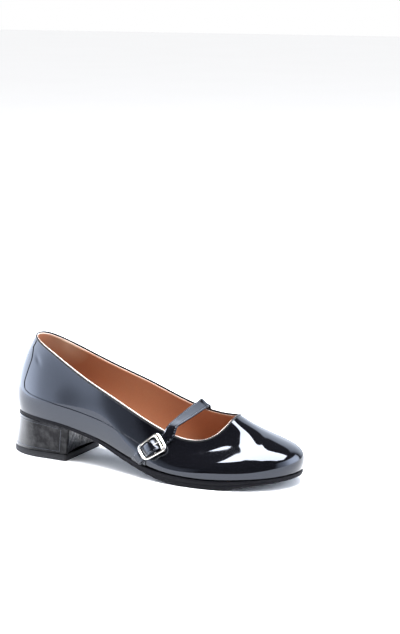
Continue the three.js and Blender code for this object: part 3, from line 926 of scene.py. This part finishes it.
ANCHOR_HEIGHTS = [
    (-20.4, 0.75), (-17, 0.9), (-12, 0.95), (-8, 0.8), (-4.6, 1.85), (-2.2, 3.0), (0, 3.45),
    (0.85, 3.1), (1.15, 2.3), (0.85, 1.5), (0, 1.15), (-2, 0.8), (-4.2, 0.75)]


def surface_frame(rib, v, rib_ahead):
    e = 0.01
    place = at_last(rib, v)
    normal = last_normals(np.array([rib]), np.array([v]))[0]
    along = unit(at_last(rib_ahead, v + e) - place)
    return place, normal, along, unit(np.cross(along, normal))


def run_frame(foot, top, v):
    slant = top - foot
    return surface_frame(foot + slant * v, v, foot + slant * (v + 0.01))


def outer_frame(v):
    return run_frame(OUTER_FOOT, OUTER_TOP, v)


RUN_V = np.linspace(0, 1, 101)
RUN_PLACES = np.array([outer_frame(v)[0] for v in RUN_V])
RUN_AT = np.concatenate([[0], np.cumsum(np.linalg.norm(np.diff(RUN_PLACES, axis=0), axis=1))])
BUCKLE_DISTANCE = np.interp(BUCKLE_AT, RUN_V, RUN_AT)


def on_outer_run(at, rise):
    want = at + BUCKLE_DISTANCE
    place, normal, along, across = outer_frame(np.interp(want, RUN_AT, RUN_V))
    if want < 0:
        place = place + along * want
    return place + normal * rise, across


def smooth_path(points, steps=16):
    """Points on a Catmull-Rom curve whose steps follow the square root of the distance."""
    p = np.vstack([2 * points[:1] - points[1:2], points, 2 * points[-1:] - points[-2:-1]])
    t = (np.arange(steps) / steps)[:, None]
    path = []
    for a, b, c, d in zip(p, p[1:], p[2:], p[3:]):
        da, db, dc = (math.sqrt(np.linalg.norm(y - x)) for x, y in ((a, b), (b, c), (c, d)))
        leave = ((b - a) / da - (c - a) / (da + db) + (c - b) / db) * db
        arrive = ((c - b) / db - (d - b) / (db + dc) + (d - c) / dc) * db
        path.append((2 * t ** 3 - 3 * t * t + 1) * b + (t ** 3 - 2 * t * t + t) * leave
                    + (3 * t * t - 2 * t ** 3) * c + (t ** 3 - t * t) * arrive)
    return np.vstack(path + [points[-1:]])


def stations(marks, count):
    """Evenly spaced (places, across, normal, along) on the curve through (place, across) marks."""
    points = np.array([m[0] for m in marks])
    dense = smooth_path(points)
    walked = np.concatenate([[0], np.cumsum(np.linalg.norm(np.diff(dense, axis=0), axis=1))])
    knots = walked[::16]
    want = np.linspace(0, walked[-1], count + 1)
    places = np.stack([np.interp(want, walked, c) for c in dense.T], axis=1)
    across = np.stack([np.interp(want, knots, c) for c in np.array([m[1] for m in marks]).T], axis=1)
    along = unit(np.gradient(places, axis=0))
    across = unit(across - along * np.sum(across * along, axis=1, keepdims=True))
    return places, across, unit(np.cross(across, along)), along


def strap_marks():
    marks = [on_outer_run(at, rise) for at, rise in STRAP_HEIGHTS]
    marks += [(np.array(place, float), np.array((1, 0, -fall))) for place, fall in STRAP_ARCH]
    rise = STRAP_LIFT + STRAP_THICK / 2
    for v in INNER_MARKS:
        place, normal, _, across = run_frame(INNER_FOOT, INNER_TOP, v)
        marks.append((place + normal * rise, -across))
    return marks


print("buckle stands", round(float(BUCKLE_DISTANCE), 1), "mm up from the sole")

# %% [markdown]
# ## Strap and its stitching
# The strap is two layers folded and sewn, so its edges are round, its face is slightly crowned
# and each row of stitches lies in a shallow trough. The stitches themselves are small grains of
# thread, one mesh for each row, set into that trough.

# %% Strap section
STITCH_IN = 1.15  # stitch row from the edge
STITCH_PITCH = 2.1
STRAP_STEPS, ANCHOR_STEPS = 300, 180
ANCHOR_SEWN = 88  # steps of the anchor that show below the buckle


def strap_section(width, thick, trough=0.1):
    half, round_edge = width / 2, thick / 2
    arc = np.radians(np.arange(75, -76, -15))
    edge = [(half - round_edge + round_edge * math.cos(a), round_edge * math.sin(a)) for a in arc]
    sewn = half - STITCH_IN
    face = [(sewn - 0.55, round_edge), (sewn - 0.25, round_edge - trough * 0.7),
            (sewn, round_edge - trough), (sewn + 0.25, round_edge - trough * 0.6)]
    middle = [(x, round_edge + 0.06) for x in (-half * 0.5, -half * 0.25, 0, half * 0.25, half * 0.5)]
    top = [(-x, y) for x, y in reversed(face)] + middle + face
    right = top + edge
    bottom = [(x, -round_edge) for x in np.linspace(half * 0.8, -half * 0.8, 7)]
    left = [(-x, y) for x, y in reversed(edge)]
    return right + bottom + left


def stitch_row(bm, path, offset, height, pitch=STITCH_PITCH, size=(0.72, 0.2, 0.19)):
    places, across, normal, along = path
    walked = np.concatenate([[0], np.cumsum(np.linalg.norm(np.diff(places, axis=0), axis=1))])
    for at in np.arange(pitch, walked[-1] - pitch / 2, pitch):
        i = int(np.searchsorted(walked, at))
        centre = places[i] + across[i] * offset + normal[i] * height
        axes = [along[i] * size[0], across[i] * size[1], normal[i] * size[2]]
        turn = Matrix(np.stack(axes, 1).tolist())
        bmesh.ops.create_uvsphere(bm, u_segments=8, v_segments=5, radius=1,
                                  matrix=Matrix.Translation(centre) @ turn.to_4x4())


def sewn_rows(path, width, height):
    bm = bmesh.new()
    for side in (-1, 1):
        stitch_row(bm, path, side * (width / 2 - STITCH_IN), height)
    return bm


# %% Strap, anchor and stitches
def strap_ends(count):
    """Sizes that close a strap's ends with a small round."""
    sizes = np.ones(count + 1)
    sizes[[0, -1]] = 0.86
    sizes[[1, -2]] = 0.96
    return sizes


STRAP_PATH = stations(strap_marks(), STRAP_STEPS)
made("strap_patent", swept(*STRAP_PATH[:3], strap_section(STRAP_WIDTH, STRAP_THICK),
                           strap_ends(STRAP_STEPS)), "strap patent", replaces=["strap"])
made("strap_stitches", sewn_rows(STRAP_PATH, STRAP_WIDTH, STRAP_THICK / 2 - 0.02), "thread")

ANCHOR_PATH = stations([on_outer_run(at, rise) for at, rise in ANCHOR_HEIGHTS],
                       ANCHOR_STEPS)
made("anchor_patent", swept(*ANCHOR_PATH[:3], strap_section(ANCHOR_WIDTH, ANCHOR_THICK, 0.05),
                            strap_ends(ANCHOR_STEPS)), "strap patent", replaces=["anchor_strap"])
ANCHOR_FRONT = [rows[:ANCHOR_SEWN] for rows in ANCHOR_PATH]
made("anchor_stitches", sewn_rows(ANCHOR_FRONT, ANCHOR_WIDTH, ANCHOR_THICK / 2), "thread")

# %% [markdown]
# ## Buckle
# The buckle is a rounded trapezoid, wide towards the foot, with a second bar inside its wide
# end. The prong turns on a thin bar across its middle, comes up through the strap and rests on
# the wide end. Everything is laid out in the buckle's own plane: across, up the strap, and out.

# %% Buckle
FRAME_WIDE, FRAME_NARROW, FRAME_LENGTH = 16.6, 13.8, 20.4
FRAME_BAR, FRAME_DEPTH, FRAME_CORNER = 1.7, 1.8, 4.2
BUCKLE_RISE, BUCKLE_TILT = 3.2, 0.055
BAR_RISE, BAR_RADIUS, PRONG_RADIUS = 2.3, 0.45, 0.55
BUCKLE_PLACE, BUCKLE_ACROSS = on_outer_run(0, 0)
BUCKLE_OUT = last_normals(np.array([OUTER_FOOT + (OUTER_TOP - OUTER_FOOT) * BUCKLE_AT]),
                          np.array([BUCKLE_AT]))[0]
BUCKLE_UP = unit(np.cross(BUCKLE_OUT, BUCKLE_ACROSS))


def on_buckle(across, along, rise):
    return (BUCKLE_PLACE + BUCKLE_ACROSS * across + BUCKLE_UP * along + BUCKLE_OUT * rise)


def frame_rise(along):
    return BUCKLE_RISE - BUCKLE_TILT * along


def rounded_trapezoid(half_wide, half_narrow, half_length, corner, steps=10):
    corners = np.array([(half_wide, half_length), (-half_wide, half_length),
                        (-half_narrow, -half_length), (half_narrow, -half_length)])
    outline = []
    for i, c in enumerate(corners):
        start = c + unit(corners[i - 1] - c) * corner
        end = c + unit(corners[(i + 1) % 4] - c) * corner
        t = np.linspace(0, 1, steps + 1)[:, None]
        outline.append((1 - t) ** 2 * start + 2 * t * (1 - t) * c + t * t * end)
    return np.vstack(outline)


def bar_along(points, flat, radius, depth, closed=False, sizes=None, sides=14):
    if closed:
        points = np.vstack([points, points[:1]])
        along = unit(np.roll(points[:-1], -1, 0) - np.roll(points[:-1], 1, 0))
        along = np.vstack([along, along[:1]])
    else:
        along = unit(np.gradient(points, axis=0))
    side = unit(np.cross(along, flat))
    section = [(radius * math.copysign(abs(math.cos(a)) ** 0.8, math.cos(a)),
                depth * math.copysign(abs(math.sin(a)) ** 0.8, math.sin(a)))
               for a in 2 * np.pi * np.arange(sides) / sides]
    return swept(points, side, np.tile(flat, (len(points), 1)), section, sizes)


def joined(parts):
    whole = bmesh.new()
    for part in parts:
        carried = bpy.data.meshes.new("part")
        part.to_mesh(carried)
        part.free()
        whole.from_mesh(carried)
        bpy.data.meshes.remove(carried)
    return whole


def buckle_frame():
    inset = FRAME_BAR / 2
    outline = rounded_trapezoid(FRAME_WIDE / 2 - inset, FRAME_NARROW / 2 - inset,
                                FRAME_LENGTH / 2 - inset, FRAME_CORNER)
    ring = bar_along(np.array([on_buckle(a, b, frame_rise(b)) for a, b in outline]),
                     BUCKLE_OUT, inset, FRAME_DEPTH / 2, closed=True)
    half = np.array([(-7.2, 1.6), (-6.9, 4.0), (-6.0, 5.9), (-4.0, 6.6), (0, 6.7)])
    inner = smooth_path(np.vstack([half, half[-2::-1] * (-1, 1)]), 6)
    second = bar_along(np.array([on_buckle(a, b, frame_rise(b)) for a, b in inner]),
                       BUCKLE_OUT, 0.55, 0.6)
    reach = (FRAME_WIDE + FRAME_NARROW) / 4 - inset
    centre = bar_along(np.array([on_buckle(a, 0, BAR_RISE) for a in np.linspace(-reach, reach, 6)]),
                       BUCKLE_OUT, BAR_RADIUS, BAR_RADIUS)
    return joined([ring, second, centre])


def buckle_prong():
    wrap = BAR_RADIUS + 0.25 + PRONG_RADIUS
    turn = [(wrap * math.cos(a), BAR_RISE + wrap * math.sin(a))
            for a in np.radians(np.arange(-80, -271, -38))]
    rest = [(1.6, 4.0), (3.2, 4.5), (5.2, 4.7), (7.4, 4.7), (9.4, 4.6)]
    path = smooth_path(np.array(turn + rest), 5)
    points = np.array([on_buckle(0, b, rise) for b, rise in path])
    sizes = np.ones(len(points))
    sizes[-4:] = (0.97, 0.88, 0.7, 0.35)
    return bar_along(points, BUCKLE_ACROSS, PRONG_RADIUS, PRONG_RADIUS, sizes=sizes)


made("buckle_frame_cast", buckle_frame(), "metal", replaces=["buckle_frame"])
made("buckle_prong_wire", buckle_prong(), "metal", replaces=["buckle_prong"])

# %% [markdown]
# ## Studio
# Black patent is lit by what it reflects, so the lights are large and soft. A softbox overhead
# draws the white shape on the toe. It is a glowing card that only reflections see, and a fill
# light beside it does its lighting. A pale wall to the left fades as it comes round to the
# front and gives the quarter its grey gradient. Two more stand behind and to the right. In
# front it is dark, which keeps the side of the shoe black.

# %% Floor
def pale_paper():
    finish = Finish("pale_paper", Roughness=0.9, Specular_IOR_Level=0.1)
    mottle = finish.noise(3, 2.0)
    return finish.feed(Base_Color=finish.blend(mottle, (0.86, 0.86, 0.865, 1), (0.88, 0.88, 0.885, 1)))


def stage_piece(name, bm, material):
    mesh = bpy.data.meshes.new(name)
    bm.to_mesh(mesh)
    bm.free()
    mesh.materials.append(material)
    piece = bpy.data.objects.new(name, mesh)
    bpy.context.collection.objects.link(piece)
    return piece


FLOOR_DROP = 0.0002
floor_mesh = bmesh.new()
bmesh.ops.create_grid(floor_mesh, x_segments=4, y_segments=4, size=9,
                      matrix=Matrix.Translation((0, 0, -FLOOR_DROP)))
stage_piece("floor", floor_mesh, pale_paper())
print("floor laid")

# %% Soft walls that only reflections and light see
def glow(name, strength_at, colour):
    """A glowing card. Its strength follows the card's own chart."""
    finish = Finish(name, Base_Color=(0, 0, 0, 1), Roughness=1.0, Specular_IOR_Level=0.0,
                    Emission_Strength=1.0)
    chart = finish.node("ShaderNodeTexCoord", {}, output="UV")
    across = finish.node("ShaderNodeSeparateXYZ", {}, chart, output="X")
    up = finish.node("ShaderNodeSeparateXYZ", {}, chart, output="Y")
    strength = strength_at(finish, across, up)
    tint = finish.node("ShaderNodeCombineXYZ", {}, strength * colour[0], strength * colour[1],
                       strength * colour[2])
    return finish.feed(Emission_Color=tint)


def ramp(finish, value, stops):
    """A smooth run of grey levels along a value from 0 to 1; stops are (place, level)."""
    top = max(level for _, level in stops)
    node = finish.nodes.new("ShaderNodeValToRGB")
    node.color_ramp.interpolation = "B_SPLINE"
    points = node.color_ramp.elements
    for _ in stops[2:]:
        points.new(0.5)
    for point, (at, level) in zip(points, stops):
        point.position = at
        point.color = (level / top, level / top, level / top, 1)
    finish.links.new(value.socket, node.inputs[0])
    return Wire(finish, node.outputs[0]) * top


def curved_wall(name, start, end, distance, low, high, material, steps=24):
    """Wall round the shoe between two bearings, in degrees from the front to the right."""
    def place(s, t):
        bearing = np.radians(start + (end - start) * s)
        return columns(distance * np.sin(bearing), -distance * np.cos(bearing), low + (high - low) * t)

    wall = stage_piece(name, laid_sheet(steps, 4, place), material)
    wall.visible_camera = False
    wall.visible_shadow = False
    return wall


def left_glow(finish, across, up):
    bearing = ramp(finish, across, [(0, 6.0), (0.5, 10), (0.61, 7.6), (0.68, 4.6), (0.74, 4.3),
                                    (0.765, 1.2), (0.81, 0.9), (0.89, 0.9), (0.95, 0.05)])
    return bearing * ramp(finish, up, [(0, 1), (0.6, 0.9), (1, 0.2)])


def right_glow(finish, across, up):
    bearing = ramp(finish, across, [(0, 0.0), (0.12, 2.4), (0.3, 2.8), (0.5, 10), (0.85, 10), (1, 4)])
    return bearing * ramp(finish, up, [(0, 0.8), (0.3, 1), (0.9, 1), (1, 0.4)])


def even_glow(level):
    def strength(finish, across, up):
        sides = ramp(finish, across, [(0, 0.0), (0.15, 1), (0.85, 1), (1, 0.0)])
        return sides * ramp(finish, up, [(0, 0.6), (0.2, 1), (0.9, 1), (1, 0.4)]) * level
    return strength


COOL = (0.86, 0.94, 1.08)
curved_wall("left_wall", -130, -5, 0.6, 0.0, 0.42, glow("left_glow", left_glow, COOL))
curved_wall("back_wall", 140, 235, 1.2, 0.05, 1.5, glow("back_glow", even_glow(3.4), COOL))
curved_wall("right_wall", 62, 135, 1.2, 0.0, 0.8, glow("right_glow", right_glow, COOL))
print("walls set")

# %% Overhead softbox and fill
SOFTBOX_HEIGHT = 1.15
SOFTBOX_GLOW = 27.0
FILL_PLACE, FILL_SIZE, FILL_GLOW = (-0.1, -0.05, 1.1), (1.1, 0.8), 15
CEILING_POWER, CEILING_SPREAD = 3.1, math.radians(100)
WORLD_GREY = 0.12
SOFTBOX_OUTLINE = [(-0.08, -0.20), (-0.20, -0.10), (-0.345, -0.03), (-0.36, 0.14), (-0.10, 0.29),
                   (0.20, 0.30), (0.82, 0.35), (1.16, -0.05), (0.85, -0.31), (0.21, -0.34)]


def area_light(name, place, target, size, radiance):
    data = bpy.data.lights.new(name, "AREA")
    data.shape = "RECTANGLE"
    data.size, data.size_y = size
    data.energy = radiance * size[0] * size[1] * math.pi
    light = bpy.data.objects.new(name, data)
    bpy.context.collection.objects.link(light)
    light.location = place
    light.rotation_euler = (Vector(target) - Vector(place)).to_track_quat("-Z", "Y").to_euler()
    return light


def overhead_softbox():
    finish = Finish("softbox_glow", Base_Color=(0, 0, 0, 1), Roughness=1.0, Specular_IOR_Level=0.0,
                    Emission_Color=(0.97, 0.98, 1.0, 1), Emission_Strength=SOFTBOX_GLOW)
    card = bmesh.new()
    card.faces.new([card.verts.new((x, y, SOFTBOX_HEIGHT)) for x, y in reversed(SOFTBOX_OUTLINE)])
    piece = stage_piece("overhead_softbox", card, finish.material)
    piece.visible_camera = piece.visible_shadow = piece.visible_diffuse = False


overhead_softbox()
fill = area_light("overhead_fill", FILL_PLACE, (*FILL_PLACE[:2], 0), FILL_SIZE, FILL_GLOW)
fill.visible_glossy = False
sky = bpy.data.lights.new("ceiling", "SUN")
sky.energy = CEILING_POWER
sky.angle = CEILING_SPREAD
ceiling = bpy.data.objects.new("ceiling", sky)
bpy.context.collection.objects.link(ceiling)
ceiling.visible_glossy = False

world = bpy.data.worlds.new("studio")
world.use_nodes = True
bpy.context.scene.world = world
tree = world.node_tree
backdrop = tree.nodes["Background"]
backdrop.inputs["Color"].default_value = (0.93, 0.96, 1.0, 1)
backdrop.inputs["Strength"].default_value = WORLD_GREY
seen = tree.nodes.new("ShaderNodeBackground")
seen.inputs["Color"].default_value = (1, 1, 1, 1)
path = tree.nodes.new("ShaderNodeLightPath")
choice = tree.nodes.new("ShaderNodeMixShader")
tree.links.new(path.outputs["Is Camera Ray"], choice.inputs[0])
tree.links.new(backdrop.outputs[0], choice.inputs[1])
tree.links.new(seen.outputs[0], choice.inputs[2])
tree.links.new(choice.outputs[0], tree.nodes["World Output"].inputs["Surface"])

# %% [markdown]
# ## Camera
# The camera looks down a little on the outer side of the shoe, from in front of it, with a long
# lens as for a catalogue.

# %% Camera
AIM = Vector((0.0412, 0.001, 0.1206))
BEARING, ELEVATION = math.radians(28.4), math.radians(11.2)
DISTANCE = 1.3
LENS = 98.03


def camera_matrix():
    back = Vector((math.sin(BEARING) * math.cos(ELEVATION),
                   -math.cos(BEARING) * math.cos(ELEVATION), math.sin(ELEVATION)))
    right = Vector((math.cos(BEARING), math.sin(BEARING), 0))
    turned = Matrix((right, back.cross(right), back)).transposed().to_4x4()
    return Matrix.Translation(AIM + back * DISTANCE) @ turned


camera = bpy.data.objects.new("camera", bpy.data.cameras.new("camera"))
bpy.context.collection.objects.link(camera)
camera.data.lens = LENS
camera.matrix_world = camera_matrix()
bpy.context.scene.camera = camera
bpy.context.scene.view_settings.view_transform = "Standard"
print("camera at", [round(c, 3) for c in camera.location])
